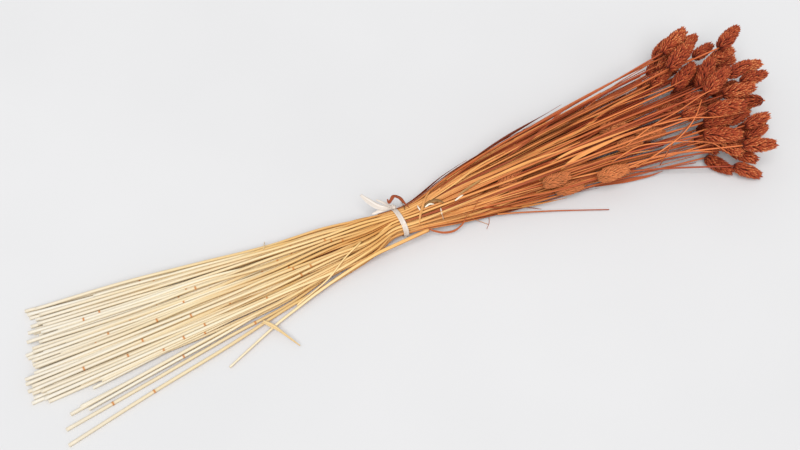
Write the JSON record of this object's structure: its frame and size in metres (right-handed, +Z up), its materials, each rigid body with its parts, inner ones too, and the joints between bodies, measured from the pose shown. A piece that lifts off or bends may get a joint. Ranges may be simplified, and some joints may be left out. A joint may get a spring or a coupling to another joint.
{
  "type": "bunch of dried canary grass",
  "caption": "Long straight straw stalks with dense oval seed heads, gathered by a thin ribbon tied round the middle; pale cut ends fan out one way and dyed heads cluster at the other; lies flat",
  "frame": {"origin": "on the table, under the middle of the bunch's box", "axes": "+X along the bunch from the cut ends to the seed heads, +Y across it, +Z up from the table"},
  "size_m": [0.7266, 0.1886, 0.0676],
  "materials": {
    "stalk": "dry dyed grass stem, satin, fine lengthwise ribs",
    "seed_head": "dry dyed seed head of overlapping papery scales, matt",
    "straw": "pale dry straw, satin",
    "leaf": "thin dry dyed grass leaf, satin",
    "ribbon": "thin whitish raffia ribbon, slightly translucent"
  },
  "bodies": {
    "root": {"stalk_01": "stalk", "stalk_02": "stalk", "stalk_03": "stalk", "stalk_04": "stalk", "stalk_05": "stalk", "stalk_06": "stalk", "stalk_07": "stalk", "stalk_08": "stalk", "stalk_09": "stalk", "stalk_10": "stalk", "stalk_11": "stalk", "stalk_12": "stalk", "stalk_13": "stalk", "stalk_14": "stalk", "stalk_15": "stalk", "stalk_16": "stalk", "stalk_17": "stalk", "stalk_18": "stalk", "stalk_19": "stalk", "stalk_20": "stalk", "stalk_21": "stalk", "stalk_22": "stalk", "stalk_23": "stalk", "stalk_24": "stalk", "stalk_25": "stalk", "stalk_26": "stalk", "stalk_27": "stalk", "stalk_28": "stalk", "stalk_29": "stalk", "stalk_30": "stalk", "stalk_31": "stalk", "stalk_32": "stalk", "stalk_33": "stalk", "stalk_34": "stalk", "stalk_35": "stalk", "stalk_36": "stalk", "stalk_37": "stalk", "stalk_38": "stalk", "stalk_39": "stalk", "stalk_40": "stalk", "stalk_41": "stalk", "stalk_42": "stalk", "stalk_43": "stalk", "stalk_44": "stalk", "stalk_45": "stalk", "stalk_46": "stalk", "stalk_47": "stalk", "stalk_48": "stalk", "stalk_49": "stalk", "stalk_50": "stalk", "stalk_51": "stalk", "stalk_52": "stalk", "loose_head": "seed_head", "tie": "ribbon", "broken_straw": "straw", "thin_straw": "stalk", "leaf_blade": "leaf", "leaf_curl": "leaf", "leaf_loop": "leaf", "leaf_folded": "leaf"}
  },
  "joints": []
}
